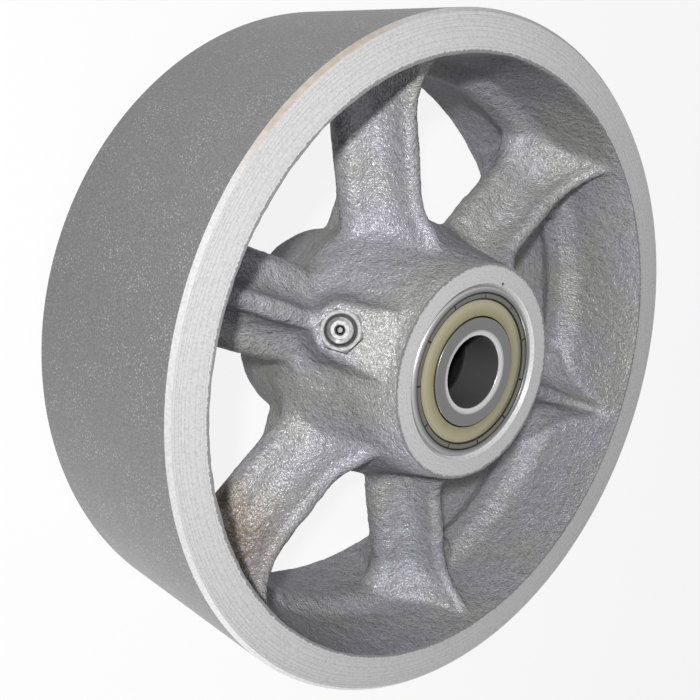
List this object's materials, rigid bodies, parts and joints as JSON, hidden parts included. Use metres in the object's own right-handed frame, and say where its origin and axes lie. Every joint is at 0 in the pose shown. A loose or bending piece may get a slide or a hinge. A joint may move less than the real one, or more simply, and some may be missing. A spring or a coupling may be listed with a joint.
{
  "type": "caster wheel",
  "caption": "Cast iron caster wheel with cross-ribbed spokes, a flat tread, a shielded ball bearing at each hub end and an angled grease fitting on the hub.",
  "frame": {"origin": "centre of the wheel, on its axis and on the middle plane of the tread", "axes": "+Z along the wheel's axis towards the face that the picture shows, +X along the spoke with the grease fitting"},
  "size_m": [0.2032, 0.2032, 0.0746],
  "materials": {
    "cast_silver": "silver painted sand casting with turned faces",
    "spacer_steel": "drawn steel tube",
    "fitting_zinc": "zinc plated steel",
    "bearing_steel": "ground steel",
    "ball_steel": "polished steel",
    "shield_zinc": "yellow zinc plated sheet",
    "cage_steel": "pressed steel"
  },
  "bodies": {
    "wheel": {"wheel_casting": "cast_silver", "front_outer_ring": "bearing_steel", "rear_outer_ring": "bearing_steel", "front_shield": "shield_zinc", "rear_shield": "shield_zinc", "grease_fitting_body": "fitting_zinc", "grease_fitting_ball": "ball_steel", "grease_fitting_spring": "ball_steel"},
    "axle_sleeve": {"front_inner_ring": "bearing_steel", "rear_inner_ring": "bearing_steel", "spacer_tube": "spacer_steel"},
    "front_cage": {"front_cage_outer_half": "cage_steel", "front_cage_inner_half": "cage_steel", "front_cage_rivets": "cage_steel", "front_ball_1": "ball_steel", "front_ball_2": "ball_steel", "front_ball_3": "ball_steel", "front_ball_4": "ball_steel", "front_ball_5": "ball_steel", "front_ball_6": "ball_steel", "front_ball_7": "ball_steel", "front_ball_8": "ball_steel", "front_ball_9": "ball_steel"},
    "rear_cage": {"rear_cage_outer_half": "cage_steel", "rear_cage_inner_half": "cage_steel", "rear_cage_rivets": "cage_steel", "rear_ball_1": "ball_steel", "rear_ball_2": "ball_steel", "rear_ball_3": "ball_steel", "rear_ball_4": "ball_steel", "rear_ball_5": "ball_steel", "rear_ball_6": "ball_steel", "rear_ball_7": "ball_steel", "rear_ball_8": "ball_steel", "rear_ball_9": "ball_steel"}
  },
  "joints": [
    {"name": "sleeve_spin", "type": "hinge", "parent": "wheel", "child": "axle_sleeve", "pos_m": [0, 0, 0], "axis": [0, 0, 1], "continuous": true},
    {"name": "front_cage_spin", "type": "hinge", "parent": "wheel", "child": "front_cage", "pos_m": [0, 0, 0.0294], "axis": [0, 0, 1], "continuous": true},
    {"name": "rear_cage_spin", "type": "hinge", "parent": "wheel", "child": "rear_cage", "pos_m": [0, 0, -0.0294], "axis": [0, 0, 1], "continuous": true}
  ],
  "couplings": [
    {"joint": "front_cage_spin", "follows": "sleeve_spin", "ratio": 0.39823},
    {"joint": "rear_cage_spin", "follows": "sleeve_spin", "ratio": 0.39823}
  ]
}
